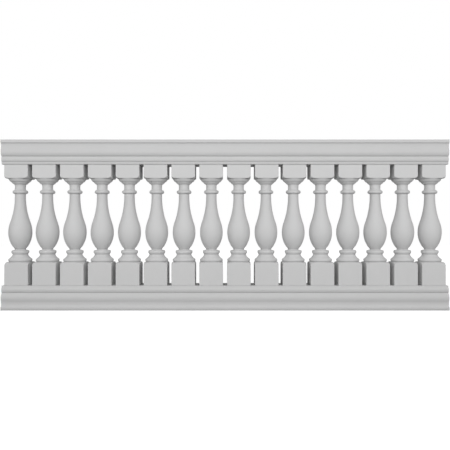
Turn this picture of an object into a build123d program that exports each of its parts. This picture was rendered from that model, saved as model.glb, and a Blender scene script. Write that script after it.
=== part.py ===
"""A straight balustrade: turned balusters between a moulded base rail and a moulded coping rail.

Millimetres. X runs along the rails, Y across them, Z up. The origin is on the underside of the
bottom rail, under the middle of the run.
"""

import os
from math import sqrt

from build123d import *

# Run of balusters
baluster_count = 16
baluster_pitch = 150

# Rail section: depths across the whole rail, from the fascia to the seat of the balusters
fascia_depth = 173
cove_mouth_depth = 163
cove_depth = 154
nose_depth = 164
quirk_depth = 141
bead_depth = 150
seat_depth = 139

# Rail section: heights of the outer mouldings, which both rails share
fascia_height = 17
cove_height = 19
ogee_height = 28.5

# Rail section: heights of the inner mouldings of the bottom rail
bottom_nose_height = 26.5
bottom_quirk_height = 3
bottom_bead_height = 28
bottom_seat_height = 9

# Rail section: heights of the inner mouldings of the top rail
top_nose_height = 23.5
top_quirk_height = 3
top_bead_height = 26
top_seat_height = 14

# Rounding of the rail's long edges: round its outer face, under the fascia, and round its seat
outer_arris = 4
fascia_arris = 1
seat_arris = 5

# Square blank that each baluster is turned from
block_width = 127
block_arris = 2

# Quarter rounds that the lathe leaves on the corners of both blocks
plinth_shoulder_radius = 21
cap_shoulder_radius = 17

# Turned radii, from the plinth up
base_quirk_radius = 58.8
base_torus_radius = 63
base_listel_radius = 57
waist_radius = 40.5
collar_foot_radius = 43
collar_radius = 46.7
collar_lip_radius = 45
ankle_radius = 28.8
belly_radius = 62.3
neck_radius = 28.5
astragal_root_radius = 30
astragal_radius = 40.5
neck_foot_radius = 32
neck_spread_radius = 32
lower_ovolo_foot_radius = 35
lower_ovolo_radius = 46
upper_ovolo_foot_radius = 50
upper_ovolo_radius = 61.5

# Turned heights, from the plinth up
plinth_height = 124
base_quirk_height = 3
base_torus_height = 15.5
base_listel_height = 1.5
scotia_height = 19
waist_height = 6
collar_height = 18
collar_widest_rise = 10
collar_slope_height = 4
ankle_height = 4.2
belly_height = 89.8
shaft_height = 197
lower_neck_height = 14.8
astragal_height = 19.7
neck_foot_height = 6.5
neck_height = 15
neck_spread_height = 11.5
lower_ovolo_height = 12.5
upper_ovolo_height = 17
cap_height = 73

# How far the curved mouldings stand off their chords
scotia_hollow = 1.9
ovolo_bulge = 1

# Where the vase turns from swelling to hollow, along the chord from belly to neck
shaft_turn_share = 0.278

# How far the turning outline runs past both ends of the blank
overrun = 5

# Levels of the rail section, from its outer face
fascia_level = fascia_height
cove_level = fascia_level + cove_height
nose_level = cove_level + ogee_height
bottom_inner_height = bottom_nose_height + bottom_quirk_height + bottom_bead_height + bottom_seat_height
top_inner_height = top_nose_height + top_quirk_height + top_bead_height + top_seat_height
bottom_rail_height = nose_level + bottom_inner_height
top_rail_height = nose_level + top_inner_height

# Levels of the baluster, from its foot
plinth_corner_level = plinth_height - plinth_shoulder_radius
torus_foot_level = plinth_height + base_quirk_height
torus_top_level = torus_foot_level + base_torus_height
scotia_foot_level = torus_top_level + base_listel_height
waist_level = scotia_foot_level + scotia_height
collar_foot_level = waist_level + waist_height
collar_top_level = collar_foot_level + collar_height
ankle_level = collar_top_level + collar_slope_height
ankle_top_level = ankle_level + ankle_height
belly_level = ankle_top_level + belly_height
shaft_top_level = belly_level + shaft_height
astragal_level = shaft_top_level + lower_neck_height
astragal_top_level = astragal_level + astragal_height
neck_level = astragal_top_level + neck_foot_height
neck_top_level = neck_level + neck_height
lower_ovolo_level = neck_top_level + neck_spread_height
upper_ovolo_level = lower_ovolo_level + lower_ovolo_height
cap_level = upper_ovolo_level + upper_ovolo_height
cap_corner_level = cap_level + cap_shoulder_radius
baluster_height = cap_level + cap_height

# Whole run
rail_length = baluster_count * baluster_pitch
overall_height = bottom_rail_height + baluster_height + top_rail_height
block_corner_radius = block_width / sqrt(2)

os.makedirs("parts", exist_ok=True)


def rail_section(end_plane, nose_height, quirk_height, bead_height, seat_height):
    """Section of a rail, drawn from its outer face to its seat along the plane's second direction."""
    quirk_level = nose_level + nose_height
    bead_level = quirk_level + quirk_height
    seat_level = bead_level + bead_height
    rail_height = seat_level + seat_height
    with BuildSketch(end_plane) as section:
        with BuildLine():
            fascia = Polyline(
                (0, 0),
                (fascia_depth / 2, 0),
                (fascia_depth / 2, fascia_level),
                (cove_mouth_depth / 2, fascia_level),
            )
            cove_waist = Vector(cove_depth / 2, cove_level)
            nose_tip = Vector(nose_depth / 2, nose_level)
            TangentArc(cove_waist, fascia @ 1, tangent=(0, -1))
            hollow = TangentArc(cove_waist, (cove_waist + nose_tip) / 2, tangent=(0, 1))
            TangentArc(hollow @ 1, nose_tip, tangent=hollow % 1)
            TangentArc(nose_tip, (quirk_depth / 2, quirk_level), tangent=(0, 1))
            quirk = Line((quirk_depth / 2, quirk_level), (quirk_depth / 2, bead_level))
            bead = ThreePointArc(
                quirk @ 1,
                (bead_depth / 2, bead_level + bead_height / 2),
                (seat_depth / 2, seat_level),
            )
            Polyline(bead @ 1, (seat_depth / 2, rail_height), (0, rail_height))
            mirror(about=Plane.YZ)
        make_face()
        outer_edges = section.vertices().group_by(Axis.Y)[0].sort_by(Axis.X)
        fillet([outer_edges[0], outer_edges[-1]], radius=outer_arris)
        fascia_edges = section.vertices().group_by(Axis.X)
        fascia_lips = [edges.sort_by(Axis.Y)[-1] for edges in (fascia_edges[0], fascia_edges[-1])]
        fillet(fascia_lips, radius=fascia_arris)
        seat_edges = section.vertices().group_by(Axis.Y)[-1].sort_by(Axis.X)
        fillet([seat_edges[0], seat_edges[-1]], radius=seat_arris)
    return section.sketch


# Bottom rail: its section, drawn upwards from the floor, run along the length
bottom_end = Plane.YZ.offset(-rail_length / 2)
bottom_section = rail_section(
    bottom_end, bottom_nose_height, bottom_quirk_height, bottom_bead_height, bottom_seat_height
)
with BuildPart() as bottom_rail:
    extrude(bottom_section, amount=rail_length)

# Top rail: its section, drawn downwards from the top, run along the length
top_end = Plane(origin=(-rail_length / 2, 0, overall_height), x_dir=(0, -1, 0), z_dir=(1, 0, 0))
top_section = rail_section(
    top_end, top_nose_height, top_quirk_height, top_bead_height, top_seat_height
)
with BuildPart() as top_rail:
    extrude(top_section, amount=rail_length)

# Baluster: a square blank turned between its plinth and cap, which keep their flat faces
with BuildPart() as baluster:
    with BuildSketch():
        RectangleRounded(block_width, block_width, block_arris)
    extrude(amount=baluster_height)
    with BuildSketch(Plane.XZ):
        with BuildLine():
            foot = Polyline(
                (0, -overrun),
                (block_corner_radius, -overrun),
                (block_corner_radius, plinth_corner_level),
            )
            plinth_shoulder = TangentArc(
                foot @ 1,
                (block_corner_radius - plinth_shoulder_radius, plinth_height),
                tangent=(0, 1),
            )
            base_quirk = Polyline(
                plinth_shoulder @ 1,
                (base_quirk_radius, plinth_height),
                (base_quirk_radius, torus_foot_level),
            )
            base_torus = ThreePointArc(
                base_quirk @ 1,
                (base_torus_radius, torus_foot_level + base_torus_height / 2),
                (base_quirk_radius, torus_top_level),
            )
            base_listel = Polyline(
                base_torus @ 1,
                (base_listel_radius, torus_top_level),
                (base_listel_radius, scotia_foot_level),
            )
            scotia = SagittaArc(base_listel @ 1, (waist_radius, waist_level), scotia_hollow)
            waist = Polyline(
                scotia @ 1,
                (waist_radius, collar_foot_level),
                (collar_foot_radius, collar_foot_level),
            )
            collar = ThreePointArc(
                waist @ 1,
                (collar_radius, collar_foot_level + collar_widest_rise),
                (collar_lip_radius, collar_top_level),
            )
            ankle = Polyline(
                collar @ 1, (ankle_radius, ankle_level), (ankle_radius, ankle_top_level)
            )
            belly = Vector(belly_radius, belly_level)
            neck = Vector(neck_radius, shaft_top_level)
            TangentArc(belly, ankle @ 1, tangent=(0, -1))
            swell = TangentArc(
                belly, belly + (neck - belly) * shaft_turn_share, tangent=(0, 1)
            )
            TangentArc(swell @ 1, neck, tangent=swell % 1)
            lower_neck = Polyline(
                neck, (neck_radius, astragal_level), (astragal_root_radius, astragal_level)
            )
            astragal = ThreePointArc(
                lower_neck @ 1,
                (astragal_radius, astragal_level + astragal_height / 2),
                (neck_foot_radius, astragal_top_level),
            )
            upper_neck = Line((neck_radius, neck_level), (neck_radius, neck_top_level))
            TangentArc(upper_neck @ 0, astragal @ 1, tangent=(0, -1))
            neck_spread = TangentArc(
                upper_neck @ 1, (neck_spread_radius, lower_ovolo_level), tangent=(0, 1)
            )
            lower_step = Line(neck_spread @ 1, (lower_ovolo_foot_radius, lower_ovolo_level))
            lower_ovolo = SagittaArc(
                lower_step @ 1, (lower_ovolo_radius, upper_ovolo_level), -ovolo_bulge
            )
            upper_step = Line(lower_ovolo @ 1, (upper_ovolo_foot_radius, upper_ovolo_level))
            upper_ovolo = SagittaArc(
                upper_step @ 1, (upper_ovolo_radius, cap_level), -ovolo_bulge
            )
            cap_underside = Line(
                upper_ovolo @ 1, (block_corner_radius - cap_shoulder_radius, cap_level)
            )
            cap_shoulder = TangentArc(
                cap_underside @ 1, (block_corner_radius, cap_corner_level), tangent=(1, 0)
            )
            Polyline(
                cap_shoulder @ 1,
                (block_corner_radius, baluster_height + overrun),
                (0, baluster_height + overrun),
                foot @ 0,
            )
        make_face()
    revolve(axis=Axis.Z, mode=Mode.INTERSECT)

bottom_rail.part.label = "bottom_rail"
export_step(bottom_rail.part, "parts/bottom_rail.step")
top_rail.part.label = "top_rail"
export_step(top_rail.part, "parts/top_rail.step")

# Balusters stand on the seat of the bottom rail at an even pitch
with Locations((0, 0, bottom_rail_height)):
    places = GridLocations(baluster_pitch, 0, baluster_count, 1).locations
for number, place in enumerate(places, start=1):
    with BuildPart() as placed_baluster:
        with Locations(place):
            add(baluster.part)
    placed_baluster.part.label = f"baluster_{number:02d}"
    export_step(placed_baluster.part, f"parts/baluster_{number:02d}.step")
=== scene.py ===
"""Cast stone balustrade: its finished pieces, their stone, and a plain stage to show them on."""

import math
from itertools import accumulate

import bmesh
import bpy
from bpy.props import FloatProperty, FloatVectorProperty, IntProperty, PointerProperty
from mathutils import Matrix, Vector


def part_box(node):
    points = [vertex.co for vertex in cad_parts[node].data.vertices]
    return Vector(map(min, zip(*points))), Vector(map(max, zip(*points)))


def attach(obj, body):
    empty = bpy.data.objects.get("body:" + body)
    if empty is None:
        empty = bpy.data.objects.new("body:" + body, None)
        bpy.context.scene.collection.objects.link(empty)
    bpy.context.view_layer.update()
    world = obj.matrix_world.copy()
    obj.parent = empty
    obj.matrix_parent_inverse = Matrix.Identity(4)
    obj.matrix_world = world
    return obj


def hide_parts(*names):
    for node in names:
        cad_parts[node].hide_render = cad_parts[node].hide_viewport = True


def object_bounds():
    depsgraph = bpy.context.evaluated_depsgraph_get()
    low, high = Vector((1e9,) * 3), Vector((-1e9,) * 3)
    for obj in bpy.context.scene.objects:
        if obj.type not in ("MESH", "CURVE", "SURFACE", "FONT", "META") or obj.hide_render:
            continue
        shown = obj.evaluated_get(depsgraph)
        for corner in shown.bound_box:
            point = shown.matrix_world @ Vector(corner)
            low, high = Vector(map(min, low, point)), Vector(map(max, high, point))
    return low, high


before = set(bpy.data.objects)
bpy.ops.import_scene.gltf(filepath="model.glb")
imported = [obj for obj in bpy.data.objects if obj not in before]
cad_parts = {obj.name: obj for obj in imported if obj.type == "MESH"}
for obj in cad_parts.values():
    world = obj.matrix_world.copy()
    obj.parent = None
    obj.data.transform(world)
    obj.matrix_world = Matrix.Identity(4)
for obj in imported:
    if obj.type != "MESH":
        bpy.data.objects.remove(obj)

bl_info = {
    "name": "Cast stone balustrade",
    "version": (1, 0, 0),
    "blender": (4, 5, 0),
    "location": "View3D > Sidebar > Balustrade",
    "description": "Models the rails and balusters of a balustrade, with their stone and a stage",
    "category": "Object",
}

CAD_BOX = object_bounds()
RAILS = ("bottom_rail", "top_rail")
BALUSTERS = sorted(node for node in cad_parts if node.startswith("baluster_"))
TINY = 1e-6


# Sizes and colours that a user would change

def length(name, description, default):
    """A size in metres."""
    return FloatProperty(
        name=name, description=description, default=default, min=0, unit="LENGTH", precision=4
    )


def share(name, description, default):
    """A plain share from nothing to all."""
    return FloatProperty(
        name=name, description=description, default=default, min=0, max=1, subtype="FACTOR"
    )


def tone(name, description, grey):
    """A colour that starts as a plain grey."""
    return FloatVectorProperty(
        name=name, description=description, default=(grey, grey, grey), min=0, max=1,
        subtype="COLOR",
    )


class RailSizes:
    """Section that both rails share, from the outer fascia to the seat of the balusters."""

    fascia_depth: length("Fascia depth", "Across the rail at its fascia", 0.173)
    cove_mouth_depth: length("Cove mouth depth", "Across the rail where the cove starts", 0.163)
    cove_depth: length("Cove depth", "Across the rail at the hollow of the cove", 0.154)
    nose_depth: length("Nose depth", "Across the rail at the swell of the ogee", 0.164)
    quirk_depth: length("Quirk depth", "Across the rail at the quirk", 0.141)
    bead_depth: length("Bead depth", "Across the rail at the bead", 0.150)
    seat_depth: length("Seat depth", "Across the rail at its seat", 0.139)
    fascia_height: length("Fascia height", "Height of the fascia", 0.017)
    cove_height: length("Cove height", "From the fascia to the hollow of the cove", 0.019)
    ogee_height: length("Ogee height", "From the cove's hollow to the ogee's swell", 0.0285)
    outer_arris: length("Outer arris", "Rounding of the edges of the outer face", 0.004)
    seat_arris: length("Seat arris", "Rounding of the edges of the seat", 0.005)
    arris: length("Arris", "Rounding under the fascia and round the ends", 0.0007)


class BottomRailSizes(RailSizes, bpy.types.PropertyGroup):
    """Section of the bottom rail, which the balusters stand on."""

    nose_height: length("Nose height", "From the ogee's swell to the quirk", 0.0265)
    quirk_height: length("Quirk height", "Height of the quirk", 0.003)
    bead_height: length("Bead height", "Height of the bead", 0.028)
    seat_height: length("Seat height", "Height of the plain band under the seat", 0.009)


class TopRailSizes(RailSizes, bpy.types.PropertyGroup):
    """Section of the top rail, which lies on the balusters with its seat down."""

    nose_height: length("Nose height", "From the ogee's swell to the quirk", 0.0235)
    quirk_height: length("Quirk height", "Height of the quirk", 0.003)
    bead_height: length("Bead height", "Height of the bead", 0.026)
    seat_height: length("Seat height", "Height of the plain band over the seat", 0.014)


class BalusterSizes(bpy.types.PropertyGroup):
    """Blocks, turned radii and turned heights of one baluster, from the plinth up."""

    block_width: length("Block width", "Width of the square plinth and cap", 0.127)
    block_arris: length("Block arris", "Rounding of the upright edges of both blocks", 0.002)
    plinth_shoulder_radius: length("Plinth shoulder", "Quarter round on its corners", 0.021)
    cap_shoulder_radius: length("Cap shoulder", "Quarter round on its corners", 0.017)
    base_quirk_radius: length("Base quirk radius", "Turned radius over the plinth", 0.0588)
    base_torus_radius: length("Base torus radius", "Turned radius of the base torus", 0.063)
    base_listel_radius: length("Base listel radius", "Turned radius over the torus", 0.057)
    waist_radius: length("Waist radius", "Turned radius over the scotia", 0.0405)
    collar_foot_radius: length("Collar foot radius", "Turned radius under the collar", 0.043)
    collar_radius: length("Collar radius", "Turned radius of the collar", 0.0467)
    collar_lip_radius: length("Collar lip radius", "Turned radius of the collar's lip", 0.045)
    ankle_radius: length("Ankle radius", "Turned radius under the belly", 0.0288)
    belly_radius: length("Belly radius", "Widest radius of the vase", 0.0623)
    neck_radius: length("Neck radius", "Narrowest radius of the vase", 0.0285)
    astragal_root_radius: length("Astragal root", "Turned radius under the astragal", 0.030)
    astragal_radius: length("Astragal radius", "Turned radius of the astragal", 0.0405)
    neck_foot_radius: length("Neck foot radius", "Turned radius over the astragal", 0.032)
    neck_spread_radius: length("Neck spread radius", "Turned radius over the neck", 0.032)
    lower_ovolo_foot_radius: length("Lower ovolo foot", "Its least radius", 0.035)
    lower_ovolo_radius: length("Lower ovolo radius", "Its greatest radius", 0.046)
    upper_ovolo_foot_radius: length("Upper ovolo foot", "Its least radius", 0.050)
    upper_ovolo_radius: length("Upper ovolo radius", "Its greatest radius", 0.0615)
    plinth_height: length("Plinth height", "Height of the plinth", 0.124)
    base_quirk_height: length("Base quirk height", "Height of the quirk", 0.003)
    base_torus_height: length("Base torus height", "Height of the base torus", 0.0155)
    base_listel_height: length("Base listel height", "Height of the listel", 0.0015)
    scotia_height: length("Scotia height", "Height of the scotia", 0.019)
    waist_height: length("Waist height", "Height of the band over the scotia", 0.006)
    collar_height: length("Collar height", "Height of the collar", 0.018)
    collar_widest_rise: length("Collar widest rise", "Rise to its widest ring", 0.010)
    collar_slope_height: length("Collar slope height", "Rise from its lip to the ankle", 0.004)
    ankle_height: length("Ankle height", "Height of the band under the belly", 0.0042)
    belly_height: length("Belly height", "Rise from the ankle to the widest ring", 0.0898)
    shaft_height: length("Shaft height", "Rise from the widest ring to the neck", 0.197)
    lower_neck_height: length("Lower neck height", "Height of the neck's plain band", 0.0148)
    astragal_height: length("Astragal height", "Height of the astragal", 0.0197)
    neck_foot_height: length("Neck foot height", "Height of the sweep over the astragal", 0.0065)
    neck_height: length("Neck height", "Height of the plain neck", 0.015)
    neck_spread_height: length("Neck spread height", "Height of the neck's spread", 0.0115)
    lower_ovolo_height: length("Lower ovolo height", "Its height", 0.0125)
    upper_ovolo_height: length("Upper ovolo height", "Its height", 0.017)
    cap_height: length("Cap height", "Height of the cap", 0.073)
    scotia_hollow: length("Scotia hollow", "How far the scotia is hollowed", 0.0019)
    ovolo_bulge: length("Ovolo bulge", "How far both ovolos swell", 0.001)
    shaft_turn_share: share("Shaft turn", "Where the vase turns from swelling to hollow", 0.278)
    arris: length("Arris", "Rounding of the sharp edges", 0.001)
    steps: IntProperty(
        name="Steps", description="Flats round a turned ring, in eights", default=96, min=8, step=8
    )


class StoneFinish(bpy.types.PropertyGroup):
    """Colour and texture of the cast stone."""

    rail_tone: tone("Rail tone", "Mean colour of the rails", 0.605)
    baluster_tone: tone("Baluster tone", "Mean colour of the balusters", 0.64)
    mottle: share("Mottle", "How much broad patches differ in tone", 0.035)
    grain: share("Grain", "How much single grains differ in tone", 0.08)
    pits: share("Pits", "How dark the small air holes are", 0.35)
    bump: share("Bump", "How strongly grain and air holes show in relief", 0.25)


class StageSettings(bpy.types.PropertyGroup):
    """Camera, light and floor."""

    camera_distance: length("Camera distance", "From the camera to the balusters", 2.945)
    lens: FloatProperty(name="Lens", description="Focal length", default=42.84, unit="CAMERA")
    key_width: length("Softbox width", "Width of the softbox", 7)
    key_height: length("Softbox height", "Height of the softbox", 0.8)
    key_distance: length("Softbox distance", "In front of the balusters", 2.4)
    key_rise: length("Softbox rise", "Over the middle of the balusters", 0.82)
    key_power: FloatProperty(
        name="Softbox power", description="Power of the softbox", default=76, unit="POWER"
    )
    fill: share("Fill", "Strength of the even light from all round", 0.30)
    floor_size: length("Floor size", "Side of the square floor", 16)
    floor_tone: share("Floor tone", "Grey of the floor under the light", 0.35)
    floor_glow: share("Floor glow", "White that the floor shows besides", 0.88)
    floor_fade: length("Floor fade", "Where the floor starts to fade to full white", 2)
    floor_white: length("Floor white", "Where the floor has faded to full white", 4)


# Outlines, as points of radius or half depth against height

UP = Vector((0, 1))
DOWN = Vector((0, -1))
OUT = Vector((1, 0))
TURNED_STEP = 0.003
RAIL_STEP = 0.0015
LEAST_ARC_STEPS = 4

# Inner corners that get painted shade, how far the painted shade reaches, and how much a joint has
# of it
SHARP_ANGLE = math.radians(35)
LEAST_OVERHANG = 0.3
PAINTED_SHADE_SPREAD = 0.006
JOINT_PAINTED_SHADE = 0.6

# How far in from a rail's side its painted shade at the joint starts and its fine points end, in
# seat arrises
JOINT_INSET = 2
FINE_INSET = 3


def crown(start, end, tangent):
    """Middle of the arc that leaves start along tangent and arrives at end."""
    chord = end - start
    turn = math.atan2(chord.cross(tangent), chord.dot(tangent))
    return (start + end) / 2 + Vector((-chord.y, chord.x)) * math.tan(turn / 2) / 2


def swollen(start, end, bulge):
    """Middle of the arc that stands off its chord by bulge, to the left of the way along it."""
    chord = end - start
    return (start + end) / 2 + Vector((-chord.y, chord.x)).normalized() * bulge


def circle_centre(a, b, c):
    """Centre of the circle through three points."""
    ab, ac = b - a, c - a
    across = Vector((
        ac.y * ab.length_squared - ab.y * ac.length_squared,
        ab.x * ac.length_squared - ac.x * ab.length_squared,
    ))
    return a + across / (2 * ab.cross(ac))


def arc(start, middle, end, step):
    """Points after start on the arc through middle to end."""
    centre = circle_centre(start, middle, end)
    spokes = [point - centre for point in (start, middle, end)]
    sweep = sum(math.atan2(a.cross(b), a.dot(b)) for a, b in zip(spokes, spokes[1:]))
    count = max(LEAST_ARC_STEPS, math.ceil(abs(sweep) * spokes[0].length / step))
    turns = (Matrix.Rotation(sweep * n / count, 2) for n in range(1, count))
    return [centre + turn @ spokes[0] for turn in turns] + [end]


def line(start, end, step):
    """Points after start on the straight way to end."""
    count = max(1, math.ceil((end - start).length / step))
    return [start.lerp(end, n / count) for n in range(1, count + 1)]


def trace(start, *stretches, step):
    """Points of an outline: lines to an end, arcs through a middle to an end, and bare points."""
    points = [start]
    for stretch in stretches:
        if isinstance(stretch, Vector):
            points.append(stretch)
        else:
            draw = arc if len(stretch) == 2 else line
            points += draw(points[-1], *stretch, step)
    return points


def nearness(place, marks):
    """1 at the nearest of some marks along an outline, falling to 0 past the spread."""
    return max((1 - abs(place - mark) / PAINTED_SHADE_SPREAD for mark in marks), default=0)


def painted_shade(points, joints, up=1):
    """How much painted shade an overhang at an inner corner, or a joint, puts on each point of an
    outline, less where the surface faces up.
    """
    places = [0, *accumulate((b - a).length for a, b in zip(points, points[1:]))]
    ways = [(b - a).normalized() for a, b in zip(points, points[1:])]
    overhangs = []
    for place, before, after in zip(places[1:], ways, ways[1:]):
        turn = math.atan2(before.cross(after), before.dot(after))
        above = after if up > 0 else before
        if turn < -SHARP_ANGLE and up * above.x > LEAST_OVERHANG:
            overhangs.append(place)
    seams = [places[points.index(joint)] for joint in joints]
    marks = []
    for place, before, after in zip(places, ways[:1] + ways, ways + ways[-1:]):
        lean = up * (before + after).x / 2
        faces_down = min(1, max(0, 1 + 2 * lean))
        marks.append(max(
            0, nearness(place, overhangs) * faces_down, nearness(place, seams) * JOINT_PAINTED_SHADE
        ))
    return marks


def rail_outline(rail):
    """Half section of a rail, from the middle of its outer face to the middle of its seat."""
    fascia, cove, nose, quirk, bead, seat, top = accumulate((
        rail.fascia_height, rail.cove_height, rail.ogee_height, rail.nose_height,
        rail.quirk_height, rail.bead_height, rail.seat_height,
    ))
    outer, inner = rail.fascia_depth / 2, rail.seat_depth / 2
    outer_edge = Vector((outer - rail.outer_arris, 0))
    fascia_foot = Vector((outer, rail.outer_arris))
    cove_mouth = Vector((rail.cove_mouth_depth / 2, fascia))
    cove_waist = Vector((rail.cove_depth / 2, cove))
    nose_tip = Vector((rail.nose_depth / 2, nose))
    ogee_turn = (cove_waist + nose_tip) / 2
    quirk_foot = Vector((rail.quirk_depth / 2, quirk))
    band_top = Vector((inner, top - rail.seat_arris))
    seat_edge = Vector((inner - rail.seat_arris, top))
    seat_start = Vector((inner - FINE_INSET * rail.seat_arris, top))
    return trace(
        Vector((0, 0)),
        outer_edge,
        [crown(outer_edge, fascia_foot, OUT), fascia_foot],
        [Vector((outer, fascia))],
        [cove_mouth],
        [crown(cove_waist, cove_mouth, DOWN), cove_waist],
        [crown(cove_waist, ogee_turn, UP), ogee_turn],
        [crown(nose_tip, ogee_turn, DOWN), nose_tip],
        [crown(nose_tip, quirk_foot, UP), quirk_foot],
        [Vector((rail.quirk_depth / 2, bead))],
        [Vector((rail.bead_depth / 2, (bead + seat) / 2)), Vector((inner, seat))],
        [band_top],
        [crown(band_top, seat_edge, UP), seat_edge],
        [seat_start],
        Vector((0, top)),
        step=RAIL_STEP,
    )


def turned_outline(sizes):
    """Outline of a baluster's turned middle, from the top of its plinth to the foot of its cap."""
    (
        plinth, torus_foot, torus_top, scotia_foot, waist, collar_foot, collar_top, ankle,
        ankle_top, belly, shaft, astragal, astragal_top, neck, neck_top, lower_ovolo,
        upper_ovolo, cap,
    ) = accumulate((
        sizes.plinth_height, sizes.base_quirk_height, sizes.base_torus_height,
        sizes.base_listel_height, sizes.scotia_height, sizes.waist_height, sizes.collar_height,
        sizes.collar_slope_height, sizes.ankle_height, sizes.belly_height, sizes.shaft_height,
        sizes.lower_neck_height, sizes.astragal_height, sizes.neck_foot_height,
        sizes.neck_height, sizes.neck_spread_height, sizes.lower_ovolo_height,
        sizes.upper_ovolo_height,
    ))
    scotia_start = Vector((sizes.base_listel_radius, scotia_foot))
    scotia_end = Vector((sizes.waist_radius, waist))
    ankle_end = Vector((sizes.ankle_radius, ankle_top))
    widest = Vector((sizes.belly_radius, belly))
    shaft_top = Vector((sizes.neck_radius, shaft))
    shaft_turn = widest.lerp(shaft_top, sizes.shaft_turn_share)
    astragal_end = Vector((sizes.neck_foot_radius, astragal_top))
    neck_start = Vector((sizes.neck_radius, neck))
    neck_end = Vector((sizes.neck_radius, neck_top))
    neck_spread = Vector((sizes.neck_spread_radius, lower_ovolo))
    lower_foot = Vector((sizes.lower_ovolo_foot_radius, lower_ovolo))
    lower_edge = Vector((sizes.lower_ovolo_radius, upper_ovolo))
    upper_foot = Vector((sizes.upper_ovolo_foot_radius, upper_ovolo))
    upper_edge = Vector((sizes.upper_ovolo_radius, cap))
    return trace(
        Vector((sizes.base_quirk_radius, plinth)),
        [Vector((sizes.base_quirk_radius, torus_foot))],
        [
            Vector((sizes.base_torus_radius, (torus_foot + torus_top) / 2)),
            Vector((sizes.base_quirk_radius, torus_top)),
        ],
        [Vector((sizes.base_listel_radius, torus_top))],
        [scotia_start],
        [swollen(scotia_start, scotia_end, sizes.scotia_hollow), scotia_end],
        [Vector((sizes.waist_radius, collar_foot))],
        [Vector((sizes.collar_foot_radius, collar_foot))],
        [
            Vector((sizes.collar_radius, collar_foot + sizes.collar_widest_rise)),
            Vector((sizes.collar_lip_radius, collar_top)),
        ],
        [Vector((sizes.ankle_radius, ankle))],
        [ankle_end],
        [crown(widest, ankle_end, DOWN), widest],
        [crown(widest, shaft_turn, UP), shaft_turn],
        [crown(shaft_top, shaft_turn, DOWN), shaft_top],
        [Vector((sizes.neck_radius, astragal))],
        [Vector((sizes.astragal_root_radius, astragal))],
        [Vector((sizes.astragal_radius, (astragal + astragal_top) / 2)), astragal_end],
        [crown(neck_start, astragal_end, DOWN), neck_start],
        [neck_end],
        [crown(neck_end, neck_spread, UP), neck_spread],
        [lower_foot],
        [swollen(lower_foot, lower_edge, -sizes.ovolo_bulge), lower_edge],
        [upper_foot],
        [swollen(upper_foot, upper_edge, -sizes.ovolo_bulge), upper_edge],
        step=TURNED_STEP,
    )


# Meshes

CREASE_ANGLE = math.radians(50)
ARRIS_SEGMENTS = 3
ARRIS_ANGLES = [math.radians(angle) for angle in (0, 30, 60, 90)]

# Rings on a block's shoulder, as shares of its width, and how its upright edges draw the points
SHOULDER_SHARES = (0.92, 0.82, 0.7, 0.55, 0.35)
CORNER_CROWDING = 1.5


def round_arrises(bm, offset):
    """Rounds the sharp outer edges, and marks them for the stone."""
    arris = bm.verts.layers.float.new("arris")
    sharp = [edge for edge in bm.edges if edge.calc_face_angle(0) > SHARP_ANGLE and edge.is_convex]
    rounded = bmesh.ops.bevel(
        bm, geom=sharp, offset=offset, offset_type="OFFSET", segments=ARRIS_SEGMENTS,
        profile=0.5, affect="EDGES", clamp_overlap=True, material=-1,
    )
    for vert in rounded["verts"]:
        vert[arris] = 1


def spread_marks(bm):
    """Moves the marks from the vertices to the corners of the faces, and off the flat ends."""
    for name in ("arris", "hollow"):
        corner_marks = bm.loops.layers.float.new(name)
        marks = bm.verts.layers.float[name]
        for face in bm.faces:
            if len(face.verts) <= 4:
                for loop in face.loops:
                    loop[corner_marks] = loop.vert[marks]
        bm.verts.layers.float.remove(marks)


def finish_mesh(bm, name):
    """Turns a bmesh into a smooth mesh."""
    spread_marks(bm)
    mesh = bpy.data.meshes.new(name)
    bm.to_mesh(mesh)
    bm.free()
    mesh.shade_smooth()
    mesh.set_sharp_from_angle(angle=CREASE_ANGLE)
    return mesh


def add_piece(mesh, node, slot):
    """Shows a mesh in place of the CAD node of the same name."""
    piece = bpy.data.objects.new(f"{node}_stone", mesh)
    bpy.context.scene.collection.objects.link(piece)
    piece.modifiers.new("even_shading", "WEIGHTED_NORMAL").keep_sharp = True
    mesh.materials.append(bpy.data.materials[f"cast_{slot}"])
    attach(piece, "root")
    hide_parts(node)


def string_verts(bm, points, painted_shades):
    """A string of vertices joined by edges, one for each point, marked with its painted shade."""
    # The hollow layer carries painted shade: darkening in inner corners, under overhangs and at
    # joints
    hollow = bm.verts.layers.float.new("hollow")
    verts = [bm.verts.new(point) for point in points]
    for vert, depth in zip(verts, painted_shades):
        vert[hollow] = depth
    for pair in zip(verts, verts[1:]):
        bm.edges.new(pair)


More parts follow.
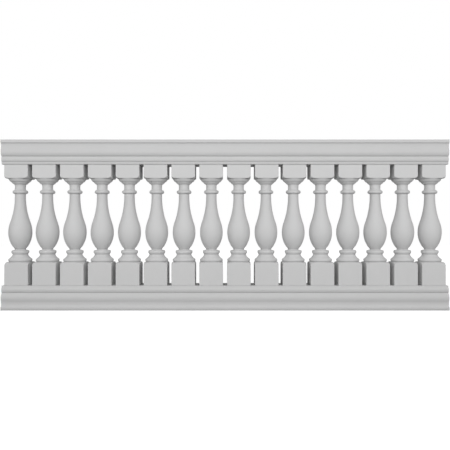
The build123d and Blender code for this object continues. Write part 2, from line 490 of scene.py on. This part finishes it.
def rail_mesh(rail, node):
    """The half section mirrored, run from end to end of the CAD rail, the right way up for it."""
    low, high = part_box(node)
    bm = bmesh.new()
    outline = rail_outline(rail)
    upside_down = node == "top_rail"
    # Painted shade on the whole seat, the shaded gaps between the balusters included, and on the
    # bottom rail's foot too, besides the inner corners under overhangs
    joints = [point for point in outline if point.y == outline[-1].y]
    if not upside_down:
        joint_edge = rail.seat_depth / 2 - JOINT_INSET * rail.seat_arris
        joints = [point for point in joints if point.x < joint_edge]
        joints += [point for point in outline if point.y <= rail.outer_arris]
    painted_shades = painted_shade(outline, joints, up=-1 if upside_down else 1)
    string_verts(bm, [(low.x, point.x, point.y) for point in outline], painted_shades)
    bmesh.ops.mirror(
        bm, geom=bm.verts[:] + bm.edges[:], matrix=Matrix(), merge_dist=TINY, axis="Y"
    )
    bmesh.ops.contextual_create(bm, geom=bm.edges[:])
    section = bmesh.ops.extrude_face_region(bm, geom=bm.faces[:], use_keep_orig=True)["geom"]
    far_verts = [item for item in section if isinstance(item, bmesh.types.BMVert)]
    bmesh.ops.translate(bm, verts=far_verts, vec=(high.x - low.x, 0, 0))
    if upside_down:
        bmesh.ops.scale(bm, verts=bm.verts, vec=(1, 1, -1))
        bmesh.ops.translate(bm, verts=bm.verts, vec=(0, 0, high.z))
    for x in (low.x + PAINTED_SHADE_SPREAD, high.x - PAINTED_SHADE_SPREAD):
        bmesh.ops.bisect_plane(
            bm, geom=bm.verts[:] + bm.edges[:] + bm.faces[:], dist=TINY,
            plane_co=(x, 0, 0), plane_no=(1, 0, 0),
        )
    bmesh.ops.recalc_face_normals(bm, faces=bm.faces)
    round_arrises(bm, rail.arris)
    return finish_mesh(bm, node)


def block_ring(sizes):
    """Points round the sides of a block, one for each step of the lathe, crowded to its corners."""
    half = sizes.block_width / 2
    inner = half - sizes.block_arris
    ring = []
    for step in range(sizes.steps):
        side, at = divmod(4 * step / sizes.steps + 0.5, 1)
        lean = 2 * at - 1
        lean = math.copysign(1 - (1 - abs(lean)) ** CORNER_CROWDING, lean)
        towards = Vector((1, lean)).normalized()
        reach = half / towards.x
        if abs(lean) * half > inner:
            along = inner * (towards.x + abs(towards.y))
            reach = along + math.sqrt(sizes.block_arris ** 2 - 2 * inner ** 2 + along ** 2)
        ring.append(Matrix.Rotation(side * math.pi / 2, 2) @ towards * reach)
    return ring


def block_rows(root, end, shoulder, arris):
    """Rings of a block, from its end to the root of its shoulder, each by its reach to the side."""
    way = math.copysign(1, root.y - end)
    curls = [
        (arris * (1 - math.cos(angle)), arris * (1 - math.sin(angle))) for angle in ARRIS_ANGLES
    ]

    def end_row(inset, drop):
        return lambda reach: (reach - inset, end + way * drop)

    def edge_row(inset, drop):
        return lambda reach: (reach - inset, shoulder(reach - inset) - way * drop)

    def shoulder_row(part):
        def place(reach):
            radius = root.x + (reach - arris - root.x) * part
            return radius, shoulder(radius)
        return place

    rows = [end_row(*curl) for curl in reversed(curls)] + [end_row(0, PAINTED_SHADE_SPREAD)]
    rows += [edge_row(*curl) for curl in curls]
    return rows + [shoulder_row(part) for part in SHOULDER_SHARES]


def quarter_round(root, start, radius):
    """Height against radius of a flat shoulder that turns down, or up, past its start."""
    return lambda r: root.y - radius + math.copysign(
        math.sqrt(abs(radius) ** 2 - max(0, r - start) ** 2), radius
    )


def baluster_mesh(sizes, height):
    """A lathe blank spun from its outline, with the four sides of its blocks planed flat."""
    corner = sizes.block_width / math.sqrt(2)
    turned = turned_outline(sizes)
    plinth_root, cap_root = turned[0], turned[-1]
    plinth_shoulder = quarter_round(
        plinth_root, corner - sizes.plinth_shoulder_radius, sizes.plinth_shoulder_radius
    )
    cap_shoulder = quarter_round(
        cap_root, corner - sizes.cap_shoulder_radius, -sizes.cap_shoulder_radius
    )
    plinth_rows = block_rows(plinth_root, 0, plinth_shoulder, sizes.arris)
    cap_rows = block_rows(cap_root, height, cap_shoulder, sizes.arris)
    rows = plinth_rows + [None] * len(turned) + cap_rows[::-1]
    ring = block_ring(sizes)

    bm = bmesh.new()
    row_layer = bm.verts.layers.int.new("row")
    reach = ring[0].length
    outline = [row(reach) for row in plinth_rows] + turned + [row(reach) for row in cap_rows[::-1]]
    # Painted shade at both block ends, where the baluster meets the rails, and under the turned
    # overhangs; none on the block faces
    joint = [JOINT_PAINTED_SHADE] * len(ARRIS_ANGLES)
    plain = [0] * (len(plinth_rows) - len(joint))
    under_cap = cap_root + OUT * sizes.arris
    painted_shades = joint + plain + painted_shade([*turned, under_cap], [])[:-1] + plain + joint
    string_verts(bm, [(radius, 0, level) for radius, level in outline], painted_shades)
    for number, vert in enumerate(bm.verts):
        vert[row_layer] = number
    bmesh.ops.spin(
        bm, geom=bm.verts[:] + bm.edges[:], cent=(0, 0, 0), axis=(0, 0, 1),
        angle=math.tau, steps=sizes.steps, use_merge=True,
    )
    for vert in bm.verts:
        place = rows[vert[row_layer]]
        if place:
            step = round(math.atan2(vert.co.y, vert.co.x) / math.tau * sizes.steps)
            side = ring[step % sizes.steps]
            radius, vert.co.z = place(side.length)
            vert.co.xy = side.normalized() * radius
    bm.verts.layers.int.remove(row_layer)
    bmesh.ops.holes_fill(bm, edges=[edge for edge in bm.edges if edge.is_boundary], sides=0)
    bmesh.ops.recalc_face_normals(bm, faces=bm.faces)
    round_arrises(bm, sizes.arris)
    return finish_mesh(bm, "baluster")


# Stone

# Patches, grains and air holes per metre; air holes by their reach in a cell, slope and rarity
PATCH_SCALE = 7
SAND_SCALE = 900
HOLE_SCALE = 75
HOLE_REACH = 0.09
HOLE_SLOPE = 11
HOLE_RARITY = 0.82

# What worn edges, painted shade in inner corners, and grains change
ARRIS_LIGHTER = 0.03
ARRIS_SMOOTHER = 0.06
PAINTED_SHADE_DARKER = 0.25
ROUGHNESS = 0.7
GRAIN_ROUGHNESS = 0.06
GRAIN_RELIEF = 0.15
FACE_RELIEF = 0.5
RELIEF_DEPTH = 0.0006


def new_group(name, inputs, outputs):
    """An empty shader node group with named sockets."""
    group = bpy.data.node_groups.new(name, "ShaderNodeTree")
    for label, kind in inputs:
        group.interface.new_socket(label, in_out="INPUT", socket_type=f"NodeSocket{kind}")
    for label, kind in outputs:
        group.interface.new_socket(label, in_out="OUTPUT", socket_type=f"NodeSocket{kind}")
    return group


def maths(tree, operation, *values):
    """A math node whose inputs are numbers or the outputs of other nodes."""
    node = tree.nodes.new("ShaderNodeMath")
    node.operation = operation
    for socket, value in zip(node.inputs, values):
        if isinstance(value, bpy.types.NodeSocket):
            tree.links.new(value, socket)
        else:
            socket.default_value = value
    return node.outputs[0]


def texture(tree, kind, vector, **settings):
    """A texture node on the given coordinates, with its sockets set by name."""
    node = tree.nodes.new(kind)
    tree.links.new(vector, node.inputs["Vector"])
    for label, value in settings.items():
        node.inputs[label].default_value = value
    return node


def stone_group():
    """Tone, roughness and relief of cast stone: broad mottling, sand grains and small air holes,
    lighter worn edges and painted shade in inner corners.
    """
    group = new_group(
        "cast_stone_surface",
        [
            ("Vector", "Vector"), ("Tone", "Color"), ("Mottle", "Float"), ("Grain", "Float"),
            ("Pits", "Float"), ("Arris", "Float"), ("Hollow", "Float"),
        ],
        [("Color", "Color"), ("Roughness", "Float"), ("Height", "Float")],
    )
    enter = group.nodes.new("NodeGroupInput").outputs
    leave = group.nodes.new("NodeGroupOutput").inputs
    at = enter["Vector"]

    patches = texture(group, "ShaderNodeTexNoise", at, Scale=PATCH_SCALE, Detail=5, Roughness=0.6)
    sand = texture(group, "ShaderNodeTexNoise", at, Scale=SAND_SCALE, Detail=2, Roughness=0.5)
    holes = texture(group, "ShaderNodeTexVoronoi", at, Scale=HOLE_SCALE, Randomness=1)
    chance = group.nodes.new("ShaderNodeSeparateColor")
    group.links.new(holes.outputs["Color"], chance.inputs[0])

    mottle = maths(group, "MULTIPLY_ADD", patches.outputs["Fac"], 2, -1)
    grain = maths(group, "MULTIPLY_ADD", sand.outputs["Fac"], 2, -1)
    near = maths(group, "SUBTRACT", HOLE_REACH, holes.outputs["Distance"])
    hole = maths(group, "MULTIPLY", maths(group, "MAXIMUM", near, 0), HOLE_SLOPE)
    chosen = maths(group, "GREATER_THAN", chance.outputs[0], HOLE_RARITY)
    pit = maths(group, "MULTIPLY", hole, chosen)

    bright = maths(group, "MULTIPLY_ADD", mottle, enter["Mottle"], 1)
    bright = maths(group, "ADD", bright, maths(group, "MULTIPLY", grain, enter["Grain"]))
    bright = maths(group, "SUBTRACT", bright, maths(group, "MULTIPLY", pit, enter["Pits"]))
    bright = maths(group, "MULTIPLY_ADD", enter["Arris"], ARRIS_LIGHTER, bright)
    # Painted shade: darker in inner corners, under overhangs and at joints, by the Hollow mark
    bright = maths(group, "MULTIPLY_ADD", enter["Hollow"], -PAINTED_SHADE_DARKER, bright)
    colour = group.nodes.new("ShaderNodeVectorMath")
    colour.operation = "SCALE"
    group.links.new(enter["Tone"], colour.inputs[0])
    group.links.new(bright, colour.inputs["Scale"])
    group.links.new(colour.outputs[0], leave["Color"])

    rough = maths(group, "MULTIPLY_ADD", grain, GRAIN_ROUGHNESS, ROUGHNESS)
    rough = maths(group, "MULTIPLY_ADD", enter["Arris"], -ARRIS_SMOOTHER, rough)
    group.links.new(rough, leave["Roughness"])
    relief = maths(group, "MULTIPLY_ADD", grain, GRAIN_RELIEF, FACE_RELIEF)
    group.links.new(maths(group, "SUBTRACT", relief, pit), leave["Height"])
    return group


def stone_material(name, colour, finish, group):
    """Matt cast stone, lighter on its worn rounded edges, with painted shade darkening its inner
    corners.
    """
    material = bpy.data.materials.new(name)
    material.use_nodes = True
    tree = material.node_tree
    shader = tree.nodes["Principled BSDF"]
    surface = tree.nodes.new("ShaderNodeGroup")
    surface.node_tree = group
    place = tree.nodes.new("ShaderNodeTexCoord")
    tree.links.new(place.outputs["Object"], surface.inputs["Vector"])
    surface.inputs["Tone"].default_value = (*colour, 1)
    surface.inputs["Mottle"].default_value = finish.mottle
    surface.inputs["Grain"].default_value = finish.grain
    surface.inputs["Pits"].default_value = finish.pits
    # Arris marks worn edges; Hollow marks where shade is painted in
    for label in ("Arris", "Hollow"):
        mark = tree.nodes.new("ShaderNodeAttribute")
        mark.attribute_name = label.lower()
        tree.links.new(mark.outputs["Fac"], surface.inputs[label])
    relief = tree.nodes.new("ShaderNodeBump")
    relief.inputs["Strength"].default_value = finish.bump
    relief.inputs["Distance"].default_value = RELIEF_DEPTH
    tree.links.new(surface.outputs["Height"], relief.inputs["Height"])
    tree.links.new(surface.outputs["Color"], shader.inputs["Base Color"])
    tree.links.new(surface.outputs["Roughness"], shader.inputs["Roughness"])
    tree.links.new(relief.outputs["Normal"], shader.inputs["Normal"])
    return material


# Stage

def white_to_eye(tree):
    """1 for what the camera sees, straight or in a reflection, and 0 for light on the object."""
    path = tree.nodes.new("ShaderNodeLightPath").outputs
    seen = maths(tree, "MAXIMUM", path["Is Camera Ray"], path["Is Glossy Ray"])
    return maths(tree, "MAXIMUM", seen, path["Is Transmission Ray"])


def floor_material(stage):
    """Pale floor that glows white to the eye and still takes the object's shadow."""
    material = bpy.data.materials.new("floor")
    material.use_nodes = True
    tree = material.node_tree
    shader = tree.nodes["Principled BSDF"]
    grey = stage.floor_tone
    shader.inputs["Base Color"].default_value = (grey, grey, grey, 1)
    shader.inputs["Roughness"].default_value = 1
    shader.inputs["Specular IOR Level"].default_value = 0
    shader.inputs["Emission Color"].default_value = (1, 1, 1, 1)
    place = tree.nodes.new("ShaderNodeTexCoord")
    away = tree.nodes.new("ShaderNodeVectorMath")
    away.operation = "LENGTH"
    tree.links.new(place.outputs["Object"], away.inputs[0])
    fade = tree.nodes.new("ShaderNodeMapRange")
    tree.links.new(away.outputs["Value"], fade.inputs["Value"])
    fade.inputs["From Min"].default_value = stage.floor_fade
    fade.inputs["From Max"].default_value = stage.floor_white
    fade.inputs["To Min"].default_value = stage.floor_glow
    fade.inputs["To Max"].default_value = 1
    glow = maths(tree, "MULTIPLY", white_to_eye(tree), fade.outputs["Result"])
    tree.links.new(glow, shader.inputs["Emission Strength"])
    return material


def add_floor(stage):
    """Square floor at the foot of the object."""
    bm = bmesh.new()
    bmesh.ops.create_grid(bm, x_segments=1, y_segments=1, size=stage.floor_size / 2)
    mesh = bpy.data.meshes.new("floor")
    bm.to_mesh(mesh)
    bm.free()
    mesh.materials.append(floor_material(stage))
    floor = bpy.data.objects.new("floor", mesh)
    bpy.context.scene.collection.objects.link(floor)


def set_world(stage):
    """Even light from all round, and white to the eye."""
    world = bpy.data.worlds.new("studio")
    bpy.context.scene.world = world
    world.use_nodes = True
    tree = world.node_tree
    strength = maths(tree, "MULTIPLY_ADD", white_to_eye(tree), 1 - stage.fill, stage.fill)
    tree.nodes["Background"].inputs["Color"].default_value = (1, 1, 1, 1)
    tree.links.new(strength, tree.nodes["Background"].inputs["Strength"])


def add_softbox(stage, middle):
    """Wide softbox over the camera, aimed at the middle of the object."""
    light = bpy.data.lights.new("softbox", "AREA")
    light.shape = "RECTANGLE"
    light.size = stage.key_width
    light.size_y = stage.key_height
    light.energy = stage.key_power
    softbox = bpy.data.objects.new("softbox", light)
    bpy.context.scene.collection.objects.link(softbox)
    offset = Vector((0, -stage.key_distance, stage.key_rise))
    softbox.location = middle + offset
    softbox.rotation_euler = offset.to_track_quat("Z", "Y").to_euler()


def add_camera(stage, middle):
    """Camera square on to the middle of the object."""
    camera = bpy.data.objects.new("camera", bpy.data.cameras.new("camera"))
    bpy.context.scene.collection.objects.link(camera)
    camera.data.lens = stage.lens
    camera.location = middle + Vector((0, -stage.camera_distance, 0))
    camera.rotation_euler = (math.pi / 2, 0, 0)
    bpy.context.scene.camera = camera


# Operators

class BALUSTRADE_OT_stone(bpy.types.Operator):
    """Mix the cast stone of the rails and balusters"""

    bl_idname = "balustrade.stone"
    bl_label = "Stone"

    def execute(self, context):
        finish = context.scene.balustrade_stone
        group = stone_group()
        stone_material("cast_rail_stone", finish.rail_tone, finish, group)
        stone_material("cast_baluster_stone", finish.baluster_tone, finish, group)
        return {"FINISHED"}


class BALUSTRADE_OT_rails(bpy.types.Operator):
    """Run the moulding of the bottom rail and the top rail"""

    bl_idname = "balustrade.rails"
    bl_label = "Rails"

    def execute(self, context):
        for node in RAILS:
            sizes = getattr(context.scene, f"balustrade_{node}")
            add_piece(rail_mesh(sizes, node), node, "rail_stone")
        return {"FINISHED"}


class BALUSTRADE_OT_balusters(bpy.types.Operator):
    """Turn the balusters and stand each in its place"""

    bl_idname = "balustrade.balusters"
    bl_label = "Balusters"

    def execute(self, context):
        low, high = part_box(BALUSTERS[0])
        pattern = baluster_mesh(context.scene.balustrade_baluster, high.z - low.z)
        for node in BALUSTERS:
            low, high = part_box(node)
            mesh = pattern.copy()
            mesh.name = node
            mesh.transform(Matrix.Translation(((low.x + high.x) / 2, (low.y + high.y) / 2, low.z)))
            add_piece(mesh, node, "baluster_stone")
        bpy.data.meshes.remove(pattern)
        return {"FINISHED"}


class BALUSTRADE_OT_stage(bpy.types.Operator):
    """Set the floor, light and camera"""

    bl_idname = "balustrade.stage"
    bl_label = "Stage"

    def execute(self, context):
        stage = context.scene.balustrade_stage
        middle = (CAD_BOX[0] + CAD_BOX[1]) / 2
        add_floor(stage)
        set_world(stage)
        add_softbox(stage, middle)
        add_camera(stage, middle)
        context.scene.view_settings.view_transform = "Standard"
        return {"FINISHED"}


class BALUSTRADE_PT_sidebar(bpy.types.Panel):
    """Steps that build the balustrade, in order"""

    bl_idname = "BALUSTRADE_PT_sidebar"
    bl_label = "Balustrade"
    bl_space_type = "VIEW_3D"
    bl_region_type = "UI"
    bl_category = "Balustrade"

    def draw(self, context):
        for operator in OPERATORS:
            self.layout.operator(operator.bl_idname)
        for name in SETTINGS:
            settings = getattr(context.scene, name)
            for key in settings.bl_rna.properties.keys():
                if key not in {"rna_type", "name"}:
                    self.layout.prop(settings, key)


OPERATORS = (
    BALUSTRADE_OT_stone, BALUSTRADE_OT_rails, BALUSTRADE_OT_balusters, BALUSTRADE_OT_stage,
)
SETTINGS = {
    "balustrade_bottom_rail": BottomRailSizes,
    "balustrade_top_rail": TopRailSizes,
    "balustrade_baluster": BalusterSizes,
    "balustrade_stone": StoneFinish,
    "balustrade_stage": StageSettings,
}


def register():
    """Registers the settings, the operators and the panel."""
    for settings in SETTINGS.values():
        bpy.utils.register_class(settings)
    for name, settings in SETTINGS.items():
        setattr(bpy.types.Scene, name, PointerProperty(type=settings))
    for operator in OPERATORS:
        bpy.utils.register_class(operator)
    bpy.utils.register_class(BALUSTRADE_PT_sidebar)


def unregister():
    """Takes back what register does."""
    bpy.utils.unregister_class(BALUSTRADE_PT_sidebar)
    for operator in reversed(OPERATORS):
        bpy.utils.unregister_class(operator)
    for name, settings in SETTINGS.items():
        delattr(bpy.types.Scene, name)
        bpy.utils.unregister_class(settings)


def main():
    """Builds the whole scene in order."""
    register()
    bpy.ops.balustrade.stone()
    bpy.ops.balustrade.rails()
    bpy.ops.balustrade.balusters()
    bpy.ops.balustrade.stage()


if __name__ == "__main__":
    main()
